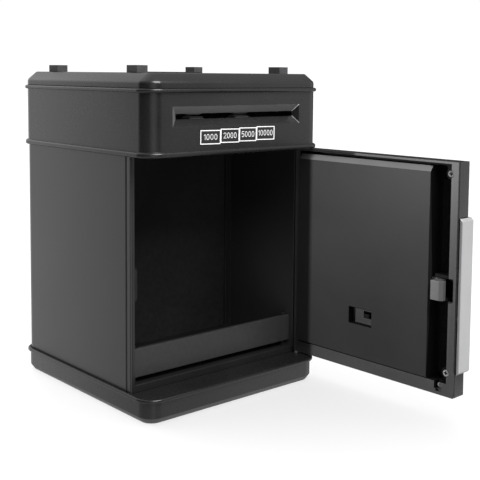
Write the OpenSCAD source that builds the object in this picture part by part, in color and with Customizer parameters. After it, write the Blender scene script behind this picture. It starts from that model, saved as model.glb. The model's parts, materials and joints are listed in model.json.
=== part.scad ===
// Toy cash machine savings bank with a side-hinged door, a motor fed note slot,
// a coin slot, a keypad, a knob driven bolt and a rear battery bay.
// Millimetres. Z is up, the note slot faces -Y, the hinge is at +X.
// The origin is the centre of the flat bottom.

/* [Housing] */
// width of the head and the base across X
body_w = 125; // [110:1:150]
// depth of the head and the base along Y
body_d = 135; // [120:1:160]
// plan radius of the rounded corners
corner_r = 9; // [5:0.5:14]
// wall thickness of the moulded shells
wall_t = 2.6; // [2:0.1:3.5]
// how far the beads stand out from the walls
bead = 1.6; // [0.8:0.1:2.5]

/* [Levels] */
// top of the base tray
base_top = 13.4; // [11:0.1:16]
// underside of the head
head_bot = 142.5; // [130:0.5:150]
// top of the head wall, where the lid sits
head_top = 178.8; // [170:0.2:185]
// height of the upright band of the lid
lid_band = 3.4; // [2:0.2:6]
// overall height of the lid top
lid_top = 187; // [180:0.5:195]
// height of the four pads on the lid
pad_h = 4; // [2:0.5:6]

/* [Compartment] */
// front plane of the jambs
jamb_y = -50.2; // [-53:0.1:-48]
// side wall thickness of the body box
side_t = 3; // [2:0.1:4]
// front face of the rear partition
part_y = 13; // [0:1:40]
// top of the compartment floor
floor_z = 17.6; // [15:0.1:22]
// lower edge of the coin board
board_z0 = 20.7; // [18:0.1:24]
// upper edge of the coin board
board_z1 = 36.6; // [30:0.2:45]

/* [Door] */
// door angle in this pose, 0 is shut
door_open = 92; // [0:1:104]
// hinge axis X
hinge_x = 60.2; // [58:0.1:61]
// hinge axis Y
hinge_y = -52.6; // [-54:0.1:-52]
// length from the hinge axis to the free edge
door_len = 117.5; // [100:0.5:118]
// thickness of the door shell
door_t = 10; // [8:0.5:13]
// lower edge of the door
door_z0 = 14.8; // [14:0.1:17]
// upper edge of the door
door_z1 = 141.8; // [138:0.1:142]
// outer skin thickness of the door
skin_t = 2.2; // [1.6:0.1:3]
// how far the inner panel stands above the door rim
panel_rise = 1.8; // [0.6:0.1:3]

/* [Latch] */
// height of the knob axis
knob_z = 79; // [70:1:90]
// distance from the hinge axis to the knob axis
knob_s = 84; // [78:1:92]
// crank radius of the knob's drive pin
crank_r = 6; // [4:0.5:8]
// radius of the knob grip
knob_r = 11; // [8:0.5:14]

/* [Keypad] */
// pitch of the keys across
key_px = 15; // [13:0.5:17]
// pitch of the keys up
key_pz = 10; // [9:0.5:12]
// width of a key cap
key_w = 9.6; // [7:0.2:12]
// height of a key cap
key_h = 6.8; // [5:0.2:8]
// centre of the middle key column
key_x = 2; // [-6:1:8]
// centre of the lowest key row
key_z = 96; // [92:1:100]

/* [Feeder] */
// Y of the roller axes
roll_y = -55.5; // [-57:0.1:-54]
// height of the drive roller axis
drive_z = 157.6; // [156:0.1:159]
// radius of the drive wheels
drive_r = 6; // [5:0.1:6.5]
// height of the idler roller axis
idle_z = 167.9; // [167:0.1:169]
// radius of the idler wheels
idle_r = 3.9; // [3:0.1:4.2]
// gear module
gear_m = 0.8; // [0.6:0.1:1]

/* [Hidden] */
W = body_w; D = body_d;
tray_top = base_top + 0.6;
panel_s0 = 4; panel_s1 = 101;
door_in = hinge_y + 1.6;
door_out = door_in - door_t;
skin_in = door_out + skin_t;
bolt_z = knob_z - crank_r;
knob_x = hinge_x - knob_s;
half_turn = 28.648;
pin_dx = crank_r * sin(half_turn);
pin_dz = crank_r * cos(half_turn);
teeth_d = 20; teeth_m = 24; teeth_p = 14;
mid_y = roll_y + gear_m * (teeth_d + teeth_m) / 2 + 0.08;
pin_y = mid_y + gear_m * (teeth_m + teeth_p) / 2 + 0.08;
e = 0.01;

// the sub-part to draw, or all of them

// a block with four rounded upright corners
module rbox(w, d, z0, z1, r) {
  translate([-w/2 + r, -d/2, z0]) cube([w - 2*r, d, z1 - z0]);
  translate([-w/2, -d/2 + r, z0]) cube([w, d - 2*r, z1 - z0]);
  for (x = [-1, 1], y = [-1, 1])
    translate([x*(w/2 - r), y*(d/2 - r), z0]) cylinder(r = r, h = z1 - z0, $fn = 48);
}
// a block given by its two corners
module box(a, b) { translate(a) cube([b[0]-a[0], b[1]-a[1], b[2]-a[2]]); }
// cylinders along each axis
module cz(x, y, z0, z1, r, n = 40) { translate([x, y, z0]) cylinder(r = r, h = z1 - z0, $fn = n); }
module cy(x, z, y0, y1, r, n = 40) { translate([x, y1, z]) rotate([90, 0, 0]) cylinder(r = r, h = y1 - y0, $fn = n); }
module cx(y, z, x0, x1, r, n = 40) { translate([x0, y, z]) rotate([0, 90, 0]) cylinder(r = r, h = x1 - x0, $fn = n); }
// places a shut door piece at the opened angle
module on_door() {
  translate([hinge_x, hinge_y, 0]) rotate([0, 0, door_open]) translate([-hinge_x, -hinge_y, 0]) children();
}
// a rounded frustum between two plan outlines
module taper(w0, d0, r0, z0, w1, d1, r1, z1) {
  hull() {
    for (x = [-1, 1], y = [-1, 1]) {
      translate([x*(w0/2 - r0), y*(d0/2 - r0), z0]) cylinder(r = r0, h = 0.02, $fn = 32);
      translate([x*(w1/2 - r1), y*(d1/2 - r1), z1 - 0.02]) cylinder(r = r1, h = 0.02, $fn = 32);
    }
  }
}
// involute gear outline
function inv(rb, t) = [rb*(cos(t) + t*PI/180*sin(t)), rb*(sin(t) - t*PI/180*cos(t))];
function turn(p, a) = [p[0]*cos(a) - p[1]*sin(a), p[0]*sin(a) + p[1]*cos(a)];
module gear2d(n, m) {
  rp = m*n/2; rb = rp*cos(20); ra = rp + 0.92*m; rf = rp - 1.22*m;
  tp = sqrt(rp*rp/(rb*rb) - 1)*180/PI;
  ta = sqrt(ra*ra/(rb*rb) - 1)*180/PI;
  ip = atan2(inv(rb, tp)[1], inv(rb, tp)[0]);
  half = 90/n - 1.1*2.5/rp;
  side = [for (i = [0:5]) turn(inv(rb, ta*i/5), -ip - half)];
  root = turn([rf, 0], -ip - half);
  polygon([for (k = [0:n-1]) each concat(
    [turn(root, 360*k/n)], [for (p = side) turn(p, 360*k/n)],
    [for (j = [5:-1:0]) turn([side[j][0], -side[j][1]], 360*k/n)], [turn([root[0], -root[1]], 360*k/n)])]);
}

// ---------------------------------------------------------------- housing
hole_x = 52; hole_y0 = -38; hole_y1 = 52;

module base_tray() color([0.05, 0.05, 0.055]) difference() {
  union() {
    taper(W - 2.8, D - 2.8, corner_r - 1.4, 0, W, D, corner_r, 2.8);
    rbox(W, D, 2.78, base_top, corner_r);
    rbox(W + 2*bead, D + 2*bead, 11.9, tray_top, corner_r + bead);
  }
  rbox(W - 2*wall_t - 2, D - 2*wall_t - 2, 2.4, base_top - 2.6, corner_r - wall_t);
  rbox(W - 2*wall_t - 3.4, D - 2*wall_t - 3.4, -1, 2.41, corner_r - wall_t - 1);
  rbox(W - 0.6, D - 0.6, base_top, tray_top + 1, corner_r - 0.3);
  cz(hinge_x, hinge_y, 9.8, tray_top + 1, 1.25);
  for (x = [-1, 1], y = [hole_y0, hole_y1]) cz(x*hole_x, y, base_top - 3, base_top + 1, 1.65);
}
module base_cover() color([0.05, 0.05, 0.055]) difference() {
  union() {
    rbox(W - 2*wall_t - 4, D - 2*wall_t - 4, 0, 2.4, corner_r - wall_t - 1.3);
    for (x = [-1, 1], y = [hole_y0, hole_y1]) cz(x*hole_x, y, 2.3, base_top - 2.65, 4.2);
  }
  for (x = [-1, 1], y = [hole_y0, hole_y1]) {
    cz(x*hole_x, y, -1, 4, 3.3);
    cz(x*hole_x, y, 3.9, base_top, 1.65);
  }
  for (i = [-4:4]) box([i*6 - 1, -30, -1], [i*6 + 1, -10, 3]);
}
module case_screws() color([0.75, 0.75, 0.77])
  for (x = [-1, 1], y = [hole_y0, hole_y1]) difference() {
    union() {
      cz(x*hole_x, y, 2.0, 4, 2.8);
      cz(x*hole_x, y, 3.9, 24, 1.45);
    }
    box([x*hole_x - 2, y - 0.4, 1], [x*hole_x + 2, y + 0.4, 2.9]);
    box([x*hole_x - 0.4, y - 2, 1], [x*hole_x + 0.4, y + 2, 2.9]);
  }
module head_screws() color([0.75, 0.75, 0.77])
  for (x = [-1, 1], y = [24, 59]) difference() {
    union() { cz(x*54, y, 145.42, 147.4, 2.8); cz(x*54, y, 126, 145.5, 1.45); }
    box([x*54 - 2, y - 0.4, 146.5], [x*54 + 2, y + 0.4, 149]);
    box([x*54 - 0.4, y - 2, 146.5], [x*54 + 0.4, y + 2, 149]);
  }
module body_shell() color([0.06, 0.06, 0.065]) difference() {
  union() {
    difference() {
      difference() {
        rbox(124, 134, base_top, head_bot, corner_r - 0.5);
        box([-63, -70, base_top - 1], [63, jamb_y, head_bot + 1]);
      }
      rbox(124 - 2*side_t, 128, floor_z, head_bot + 1, corner_r - 3.5);
      box([-62 + side_t, -70, floor_z], [62 - side_t, 0, head_bot + 1]);
    }
    // screw posts under and behind
    for (x = [-1, 1]) {
      cz(x*hole_x, hole_y0, floor_z - e, 27, 4);
      cz(x*hole_x, hole_y1, floor_z - e, 27, 4);
      for (y = [24, 59]) cz(x*54, y, floor_z - e, head_bot, 4);
      box([x*57.2 - 2.2, -45.38, floor_z - e], [x*57.2 + 2.2, -43.2, board_z1 + 1]);
      box([x*57.2 - 2.2, part_y - 2.2, floor_z - e], [x*57.2 + 2.2, part_y - 0.05, head_bot]);
      box([x*57.2 - 2.2, part_y + 2.25, floor_z - e], [x*57.2 + 2.2, part_y + 4.2, head_bot]);
    }
  }
  // corner post grooves on the side and front faces of both jambs
  for (x = [-1, 1]) {
    box([x*62 - 0.5, -47.0, base_top - 1], [x*62 + 0.5, -45.9, head_bot + 1]);
    box([x*61.1 - 0.35, jamb_y - 1, base_top - 1], [x*61.1 + 0.35, jamb_y + 0.5, head_bot + 1]);
    for (y = [hole_y0, hole_y1]) cz(x*hole_x, y, base_top - 1, 25, 1.48);
    for (y = [24, 59]) cz(x*54, y, head_bot - 20, head_bot + 1, 1.48);
  }
  // rear battery opening with a screw boss pocket above
  box([-28.3, 60, 21.7], [28.3, 70, 88.3]);
  // strike screw holes
  for (z = [65.2, 80.8]) cx(-46, z, -62 + 0.8, -50, 0.72, 20);
}
module partition() color([0.05, 0.05, 0.055]) {
  difference() {
    union() {
      box([-58.8, part_y, floor_z + 0.05], [58.8, part_y + 2, head_bot - 0.1]);
      for (x = [-36, -12, 12, 36]) box([x - 0.8, part_y + 1.9, 30], [x + 0.8, part_y + 6, 130]);
    }
    box([-6, part_y - 1, 136], [6, part_y + 3, head_bot + 1]);
  }
}
module coin_board() color([0.09, 0.09, 0.095]) {
  difference() {
    union() {
      box([-58.8, -47.4, board_z0], [58.8, -45.4, board_z1]);
      box([-58.8, -47.4, board_z1 - 0.8], [58.8, -44.6, board_z1]);
    }
    for (x = [-1, 1]) box([x*57 - 3, -45.41, board_z1 - 1], [x*57 + 3, -44, board_z1 + 1]);
  }
}
module strike_plate() color([0.2, 0.2, 0.2]) difference() {
  union() {
    hull() {
      box([-59 + e, -49.9, 63.6], [-58.6, -42, 82.4]);
      box([-58.6, -49.9, 65.2], [-57.3, -42, 80.8]);
    }
    for (z = [65.2, 80.8]) cx(-46, z, -61, -58.9, 0.7, 20);
  }
  box([-60 + 1.2, -49.2, 67.2], [-57, -42.8, 78.8]);
}
module battery_box() color([0.07, 0.07, 0.075]) difference() {
  box([-28, 43.6, floor_z + 0.03], [28, 63.9, 88]);
  box([-26.2, 45.4, 23.6], [26.2, 70, 78.4]);
  for (x = [-1, 1]) box([x*16 - 10, 42, 80.2], [x*16 + 10, 70, 89]);
  for (x = [-9, 9]) box([x - 6, 42, 40], [x + 6, 46, 62]);
  cy(0, 84, 50, 70, 1.48);
}
module battery_cells() for (i = [-1:1]) translate([i*16.4, 54.6, 50.8]) rotate([i == 0 ? 180 : 0, 0, 0]) {
  color([0.15, 0.15, 0.16]) translate([0, 0, -24.6]) cylinder(r = 7.1, h = 49.2, $fn = 48);
  color([0.7, 0.7, 0.7]) translate([0, 0, 24.5]) cylinder(r = 2.7, h = 1.7, $fn = 32);
}
module battery_contacts() color([0.75, 0.75, 0.76]) {
  for (i = [-1:1]) {
    s = i == 0 ? -1 : 1;
    translate([i*16.4, 54.6, 51]) scale([1, 1, s]) {
      translate([0, 0, -27.3]) cylinder(r1 = 5, r2 = 3, h = 2.4, $fn = 32);
      translate([-4.5, -4.5, 26.5]) cube([9, 9, 0.7]);
    }
  }
}
module battery_door() color([0.05, 0.05, 0.055]) difference() {
  union() {
    box([-28, 63.92, 22], [28, 67, 88]);
    for (i = [0:4]) box([-14, 66.9, 28 + i*2.2], [14, 67.5, 29 + i*2.2]);
  }
  cy(0, 84, 60, 70, 1.65);
  cy(0, 84, 65.9, 70, 2.9);
}
module battery_door_screw() color([0.75, 0.75, 0.77]) difference() {
  union() { cy(0, 84, 65.92, 67.2, 2.6); cy(0, 84, 53.5, 66, 1.45); }
  box([-2, 66.6, 83.6], [2, 68, 84.4]);
  box([-0.4, 66.6, 82], [0.4, 68, 86]);
}
module head_shell() color([0.05, 0.05, 0.055]) difference() {
  union() {
    rbox(W, D, head_bot, head_top, corner_r);
    rbox(W + 2*bead, D + 2*bead, head_bot, 145.5, corner_r + bead);
    rbox(W + 2*bead, D + 2*bead, 176.6, head_top, corner_r + bead);
  }
  difference() {
    rbox(W - 2*wall_t, D - 2*wall_t, 145.2, head_top + 1, corner_r - wall_t);
    // thick block behind the note slot, hinge boss and screw bosses
    box([-47.8, -66, 155], [47.8, -62.6, 172.4]);
    cz(hinge_x - 0.9, hinge_y, 145, 149, 3.2);
    for (x = [-1, 1], y = [24, 59]) cz(x*54, y, 145, 149, 4.6);
  }
  // tapered note slot
  hull() {
    box([-46.7, -D/2 - 0.1, 158.4], [45.4, -D/2 + 0.02, 169.3]);
    box([-42, -63.6, 162.3], [43.2, -63.5, 165.2]);
  }
  box([-42, -63.6, 162.3], [43.2, -60, 165.2]);
  // hinge pin hole, note and coin ways down, cable hole
  cz(hinge_x, hinge_y, head_bot - 1, 146.6, 1.25);
  box([-44, -48.2, head_bot - 1], [44, -31.2, 147]);
  box([-17.8, -3.6, head_bot - 1], [17.8, 3.6, 147]);
  box([-5, 24, head_bot - 1], [5, 30, 147]);
  // screws that hold the head to the body
  for (x = [-1, 1], y = [24, 59]) { cz(x*54, y, head_bot - 1, 150, 1.65); cz(x*54, y, 145.4, 150, 3.0); }
}
module coin_chute() color([0.06, 0.06, 0.065]) difference() {
  union() {
    box([-19.4, -5, 145.25], [19.4, 5, 184.0]);
    box([-22, -7, 145.25], [22, 7, 147]);
  }
  box([-17.8, -3.6, 140], [17.8, 3.6, 190]);
}
module coin_slot_trim() color([0.06, 0.06, 0.065]) difference() {
  union() {
    box([-21, -5.4, lid_top - 1.2 + e], [21, 5.4, lid_top + 0.6]);
    box([-18.4, -3.0, lid_top - 2.6], [18.4, 3.0, lid_top]);
  }
  box([-17, -2.3, 180], [17, 2.3, 190]);
}
module lid() color([0.05, 0.05, 0.055]) difference() {
  union() {
    rbox(W, D, head_top + 0.02, head_top + lid_band, corner_r);
    taper(W, D, corner_r, head_top + lid_band - 0.02, W - 10.8, D - 10.8, corner_r - 4, lid_top);
    rbox(W - 2*wall_t - 0.5, D - 2*wall_t - 0.5, head_top - 2.6, head_top + 1, corner_r - wall_t - 0.2);
  }
  rbox(W - 2*wall_t - 4, D - 2*wall_t - 4, head_top - 4, lid_top - 5.2, 4.5);
  rbox(W - 20, D - 20, lid_top - 5.3, lid_top - 2.4, 3);
  box([-21.2, -5.6, lid_top - 1.2], [21.2, 5.6, lid_top + 1]);
  box([-18.6, -3.2, lid_top - 5], [18.6, 3.2, lid_top + 1]);
}
module lid_pads() color([0.08, 0.08, 0.085])
  for (x = [-1, 1], y = [-1, 1]) difference() {
    translate([x*51.8 - 3.5, y*42.1 - 5, lid_top + 0.005]) cube([7, 10, pad_h]);
    translate([x*51.8 - 2.3, y*42.1 - 3.8, lid_top + pad_h - 0.4]) cube([4.6, 7.6, 1]);
  }
module plate(x0, x1, z0) color([0.1, 0.1, 0.1])
  translate([x0, -D/2 - 0.35, z0]) rotate([0, 1, 0]) cube([x1 - x0, 0.34, 7.75]);
module value_plate_1() plate(-28.6, -14.6, 148.6);
module value_plate_2() plate(-14.5, -1.2, 148.95);
module value_plate_3() plate(-1.1, 11.6, 149.2);
module value_plate_4() plate(11.7, 25.5, 149.5);

// ---------------------------------------------------------------- note feeder
module feeder_frame() color([0.06, 0.06, 0.065]) difference() {
  union() {
    difference() {
      box([-47, -61.8, 145.3], [47, -12, 147]);
      box([-44.2, -48.4, 145], [44.2, -31, 148]);
    }
    box([-47, -61.8, 146.9], [-45.2, -12, 150]); box([45.2, -61.8, 146.9], [47, -12, 150]);
    for (x = [-47, 45.2]) {
      box([x, -61.6, 146.9], [x + 1.8, -50, 173.6]);
      box([x, -61.6, 146.9], [x + 1.8, pin_y + 8, 164]);
    }
    box([-45.3, -61.6, 160.4], [45.3, -46.6, 161.4]);
  }
  // clearance for the wheels in the deck
  for (x = [-24.5, 8.5]) box([x - 7.1, -63, 160], [x + 7.1, -48.6, 162]);
  for (x = [-48, 44]) {
    cx(roll_y, drive_z, x, x + 4, 2.05);
    cx(roll_y, idle_z, x, x + 4, 1.55);
  }
  cx(mid_y, drive_z, 44, 48, 1.55);
  cx(pin_y, drive_z, 44, 48, 1.06);
}
module drive_shaft() color([0.72, 0.72, 0.74]) cx(roll_y, drive_z, -49, 52.4, 2.0);
module drive_wheels() color([0.2, 0.2, 0.2]) for (x = [-24.5, 8.5]) difference() {
  union() {
    cx(roll_y, drive_z, x - 5, x + 5, drive_r, 48);
    cx(roll_y, drive_z, x - 6.5, x + 6.5, 3.2);
  }
  cx(roll_y, drive_z, x - 8, x + 8, 2.03);
}
module drive_gear() color([0.85, 0.85, 0.8]) difference() {
  translate([48.2, roll_y, drive_z]) rotate([0, 90, 0]) linear_extrude(3.2) gear2d(teeth_d, gear_m);
  cx(roll_y, drive_z, 47, 54, 2.03);
}
module idler_shaft() color([0.72, 0.72, 0.74]) cx(roll_y, idle_z, -48.6, 48.6, 1.5);
module idler_wheels() color([0.25, 0.25, 0.25]) for (x = [-24.5, 8.5]) difference() {
  cx(roll_y, idle_z, x - 4.5, x + 4.5, idle_r, 48);
  cx(roll_y, idle_z, x - 8, x + 8, 1.53);
}
module middle_gear() color([0.85, 0.85, 0.8]) {
  translate([48.2, mid_y, drive_z]) rotate([0, 90, 0]) linear_extrude(3.2) rotate(mid_turn) gear2d(teeth_m, gear_m);
  cx(mid_y, drive_z, 43.4, 48.3, 1.5);
}
module motor_pinion() color([0.8, 0.7, 0.4]) {
  translate([48.2, pin_y, drive_z]) rotate([0, 90, 0]) linear_extrude(3.2) rotate(pin_turn) gear2d(teeth_p, gear_m);
  cx(pin_y, drive_z, 42.6, 48.3, 1.0);
}
// phases that put a tooth of each gear in the other's gap
mid_turn = 180/teeth_m;
pin_turn = 270 - 360/teeth_p*10;
module feeder_motor() color([0.7, 0.7, 0.72]) difference() {
  union() {
    cx(pin_y, drive_z, 19, 42, 7.6, 48);
    cx(pin_y, drive_z, 41.9, 43.4, 3);
    box([19.5, pin_y - 5, 147.02], [41.5, pin_y + 5, 152]);
  }
  cx(pin_y, drive_z, 42.2, 46, 1.04);
  cx(pin_y, drive_z, 40, 46, 1.2);
}
module main_board() color([0.05, 0.3, 0.12]) difference() {
  union() {
    box([-40, 16, 150], [40, 56, 151.6]);
    for (x = [-1, 1], y = [20, 52]) cz(x*36, y, 145.25, 150.1, 2.5);
  }
}
module board_parts() color([0.1, 0.1, 0.1]) {
  box([-12, 28, 151.6 + e], [6, 38, 154]);
  box([16, 24, 151.6 + e], [24, 34, 156]);
  box([-34, 42, 151.6 + e], [-20, 50, 157]);
  for (x = [12, 20, 28]) cz(x, 48, 151.6 + e, 159, 3);
}

// ---------------------------------------------------------------- door
function dx(s) = hinge_x - s;
sp_x = 30; sp_z = 48;
rec_x0 = dx(62.4); rec_x1 = dx(45.4); rec_z0 = 42.3; rec_z1 = 52.1;

module door_shell() color([0.05, 0.05, 0.055]) on_door() difference() {
  union() {
    difference() {
      box([dx(door_len), door_out, door_z0], [61.8, door_in, door_z1]);
      box([dx(door_len) + 4.5, skin_in, door_z0 + 7.1], [57.4, door_in + 1, door_z1 - 1.3]);
      box([58.9, hinge_y + 0.1, door_z0 - 1], [63, door_in + 1, door_z1 + 1]);
    }
    cz(hinge_x, hinge_y, door_z0, door_z1, 1.8, 48);
    box([57.3, hinge_y, door_z0], [hinge_x, door_in, door_z1]);
    // bosses for the rim screws, bolt rails
    for (z = [27.5, 135.2]) cy(-51.9, z, skin_in - 0.1, -52.6, 3.2);
    for (z = [[66.2, 68.0], [78.5, 80.3]]) box([-51.2, skin_in - 0.1, z[0]], [-42.6, -53.0, z[1]]);
  }
  for (z = [27.5, 135.2]) {
    cy(-51.9, z, skin_in, -50, 1.05);
    cy(-51.9, z, -53.4, -50, 2.3);
  }
  // notch for the bolt in the rim
  box([dx(door_len) + 1.6, -54.2, 67.0], [-52, -50, 79.2]);
  // seat for the grip trim
  hull() {
    box([-58, -62, 28], [dx(door_len) + 0.6, -52.8, 111]);
    box([-58, -62, 26.6], [dx(door_len) + 0.02, -52.8, 112.4]);
  }
  // seam between the outer skin and the inner frame
  box([dx(door_len) - 1, -52.4, door_z0 - 1], [dx(door_len) + 0.5, -51.9, door_z1 + 1]);
  // key windows, lamp holes, knob bore, sound holes
  for (c = [-1:1], r = [0:3])
    box([key_x + c*key_px - key_w/2 - 0.4, door_out - 1, key_z + r*key_pz - key_h/2 - 0.4],
        [key_x + c*key_px + key_w/2 + 0.4, skin_in + 0.1, key_z + r*key_pz + key_h/2 + 0.4]);
  for (i = [0:2]) cy(-32, 110 + 8*i, door_out - 1, skin_in + 1, 1.55);
  cy(knob_x, knob_z, door_out - 1, skin_in + 1, 3.06);
  for (a = [0:60:300]) cy(sp_x + 5*cos(a), sp_z + 5*sin(a), door_out - 1, skin_in + 1, 1.0, 20);
  cy(sp_x, sp_z, door_out - 1, skin_in + 1, 1.0, 20);
  // hinge pin holes
  cz(hinge_x, hinge_y, door_z0 - 1, 25, 1.22);
  cz(hinge_x, hinge_y, 131, door_z1 + 1, 1.22);
  // corner notch in the lower rim
  box([dx(108.6), -55.2, door_z0 + 3.0], [dx(105.4), -50, door_z0 + 7.2]);
  box([dx(110), -52.8, door_z0 + 1.8], [dx(106.4), -50, door_z0 + 4.2]);
}
module door_panel() color([0.07, 0.07, 0.075]) on_door() difference() {
  union() {
    hull() {
      box([dx(panel_s1), door_in - 0.6, door_z0 + 7.4], [dx(panel_s0), door_in - 0.4, door_z1 - 2.9]);
      box([dx(panel_s1), door_in + panel_rise - 0.1, door_z0 + 8.3], [dx(panel_s0), door_in + panel_rise, door_z1 - 6.1]);
    }
    // skirt toward the bolt channel
    box([dx(panel_s1), skin_in + 0.1, door_z0 + 7.4], [dx(panel_s1) + 1.6, door_in, door_z1 - 2.9]);
    // switch pocket
    box([rec_x0 - 1.4, door_in - 4.2, rec_z0 - 1.4], [rec_x1 + 1.4, door_in, rec_z1 + 1.4]);
  }
  difference() {
    box([dx(panel_s1) + 1.6, door_in - 1.2, door_z0 + 9.6], [dx(panel_s0) - 1.6, door_in + panel_rise - 1.8, door_z1 - 6.4]);
    box([rec_x0 - 1.4, door_in - 6, rec_z0 - 1.4], [rec_x1 + 1.4, door_in + 3, rec_z1 + 1.4]);
  }
  box([rec_x0, door_in - 2.8, rec_z0], [rec_x1, door_in + 5, rec_z1]);
  box([rec_x0 + 1.9, door_in - 5, rec_z0 + 3.5], [rec_x0 + 9.3, door_in, rec_z0 + 7.5]);
  box([dx(panel_s1) - 1, -56.0, 68.1], [dx(panel_s1) + 3, -52.7, 78.4]);
}
module hinge_pins() color([0.75, 0.75, 0.77]) {
  cz(hinge_x, hinge_y, 10.6, 24.6, 1.2);
  cz(hinge_x, hinge_y, 131.4, 146.0, 1.2);
}
module door_bezel() color([0.65, 0.66, 0.68]) on_door() difference() {
  union() {
    hull() {
      box([-41, door_out - 0.8, 65], [47, door_out - e, 137]);
      box([-40, door_out - 1.8, 66], [46, door_out - e, 136]);
    }
  }
  for (c = [-1:1], r = [0:3])
    box([key_x + c*key_px - key_w/2 - 0.4, door_out - 4, key_z + r*key_pz - key_h/2 - 0.4],
        [key_x + c*key_px + key_w/2 + 0.4, door_out + 1, key_z + r*key_pz + key_h/2 + 0.4]);
  for (i = [0:2]) cy(-32, 110 + 8*i, door_out - 4, door_out + 1, 1.55);
  cy(knob_x, knob_z, door_out - 4, door_out + 1, 3.06);
}
module led_lenses() color([0.8, 0.2, 0.1]) on_door()
  for (i = [0:2]) { cy(-32, 110 + 8*i, door_out - 2.4, skin_in + 0.6, 1.5); cy(-32, 110 + 8*i, skin_in + 0.05, skin_in + 1.2, 2.1); }
module handle_trim() color([0.75, 0.75, 0.77]) on_door() {
  hull() {
    box([dx(door_len + 1.9), door_out - 2.4, 28.6], [dx(door_len) - 0.02, -53.1, 110.4]);
    box([dx(door_len + 0.4), door_out - 2.4, 27.2], [dx(door_len) - 0.02, -53.1, 111.8]);
  }
  hull() {
    box([dx(door_len + 1.9), door_out - 2.4, 28.6], [dx(104), door_out - e, 110.4]);
    box([dx(door_len + 0.4), door_out - 2.4, 27.2], [dx(103), door_out - e, 111.8]);
  }
}
module door_board() color([0.05, 0.3, 0.12]) on_door() difference() {
  union() {
    box([-37, -55.9, 86.4], [52, -54.4, 137.5]);
    box([rec_x0 + 0.6, door_in - 6.9, rec_z0 + 1.0], [rec_x0 + 13.0, door_in - 5.0, rec_z0 + 9.4]);
  }
  box([-38, -57, 86], [-28, -54, 98]);
}
module speaker() color([0.15, 0.15, 0.15]) on_door() {
  cy(sp_x, sp_z, skin_in + e, skin_in + 1.2, 13, 48);
  cy(sp_x, sp_z, skin_in + 1.1, skin_in + 4.6, 8, 48);
}
module lock_coil() color([0.6, 0.3, 0.1]) on_door() difference() {
  union() {
    box([-38.6, skin_in + e, 40], [-29.4, -53.0, 62]);
  }
  cz(-34, -55.9, 44, 70, 1.45);
}
module lock_plunger() color([0.75, 0.75, 0.77]) on_door() {
  cz(-34, -55.9, 48, 67.6, 1.4);
  cz(-34, -55.9, 62.6, 63.6, 2.6);
}
module switch_slider() color([0.08, 0.08, 0.08]) on_door() {
  box([rec_x0 + 5.4, door_in - 4.7, rec_z0 + 3.8], [rec_x0 + 8.8, door_in - 2.3, rec_z0 + 6.2]);
}
module door_screws() color([0.8, 0.8, 0.82]) on_door() {
  for (z = [27.5, 135.2]) difference() {
    union() { cy(-51.9, z, -53.35, -51.9, 1.8); cy(-51.9, z, -58.4, -53.3, 1.02); }
    box([-53.0, -52.6, z - 0.3], [-50.8, -51, z + 0.3]);
    box([-52.2, -52.6, z - 1.1], [-51.6, -51, z + 1.1]);
  }
  cy(dx(107), door_z0 + 4.7, -55.15, -53.6, 1.3);
}
module knob() color([0.15, 0.15, 0.16]) on_door() difference() {
  union() {
    cy(knob_x, knob_z, -76, -63.2, knob_r - 1.2, 64);
    cy(knob_x, knob_z, -75, -64.2, knob_r, 64);
    cy(knob_x, knob_z, -63.3, -58.3, 3.0);
  }
  for (a = [0:15:345]) translate([knob_x, 0, knob_z]) rotate([0, a, 0]) cy(knob_r + 0.55, 0, -77, -64.6, 1.15, 16);
  cy(knob_x, knob_z, -65, -58, 1.5);
}
module crank() color([0.7, 0.7, 0.72]) on_door() {
  cy(knob_x, knob_z, -64.9, -57.5, 1.47);
  cy(knob_x, knob_z, -58.2, -56.9, 4.4);
  translate([knob_x, 0, knob_z]) rotate([0, -atan2(pin_dx, pin_dz), 0]) translate([-1.4, -58.1, -crank_r]) cube([2.8, 1.1, crank_r]);
  cy(knob_x + pin_dx, knob_z - pin_dz, -58.0, -56.8, 1.9);
  cy(knob_x + pin_dx, knob_z - pin_dz, -57.4, -53.4, 1.5);
}
module latch_bolt() color([0.2, 0.2, 0.21]) on_door() difference() {
  union() {
    box([-46, -55.8, 68.5], [-14, -53.2, 78]);
    box([dx(106.8), -56.4, 68.5], [dx(104.8), -50.4, 78]);
    box([dx(113), -50.5, 67.9], [dx(105.6), -45.0, 78.4]);
    box([dx(109.6), -53.6, 68.5], [dx(104.8), -50.4, 78]);
  }
  box([dx(113.1), -51, 60], [dx(109.9), -48.6, 90]);
  box([knob_x + pin_dx - 1.75, -57, knob_z - crank_r - 1.9], [knob_x + pin_dx + 1.75, -52, knob_z - pin_dz + 1.9]);
  for (x = [-34, -34 + 2*pin_dx]) box([x - 1.8, -57, 68], [x + 1.8, -52, 70.4]);
  hull() { box([dx(113.1), -46.2, 67], [dx(113), -44, 80]); box([dx(113.1), -45.0, 67], [dx(111), -44, 80]); }
}
module key(i) color([0.85, 0.85, 0.86]) on_door() {
  c = (i - 1) % 3 - 1; r = 3 - floor((i - 1)/3);
  x = key_x + c*key_px; z = key_z + r*key_pz;
  box([x - key_w/2, -64.2, z - key_h/2], [x + key_w/2, skin_in + 0.4, z + key_h/2]);
  box([x - key_w/2 - 0.9, skin_in + 0.3, z - key_h/2 - 0.9], [x + key_w/2 + 0.9, skin_in + 1.2, z + key_h/2 + 0.9]);
}
module key_1() key(1);
module key_2() key(2);
module key_3() key(3);
module key_4() key(4);
module key_5() key(5);
module key_6() key(6);
module key_7() key(7);
module key_8() key(8);
module key_9() key(9);
module key_10() key(10);
module key_11() key(11);
module key_12() key(12);

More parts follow.
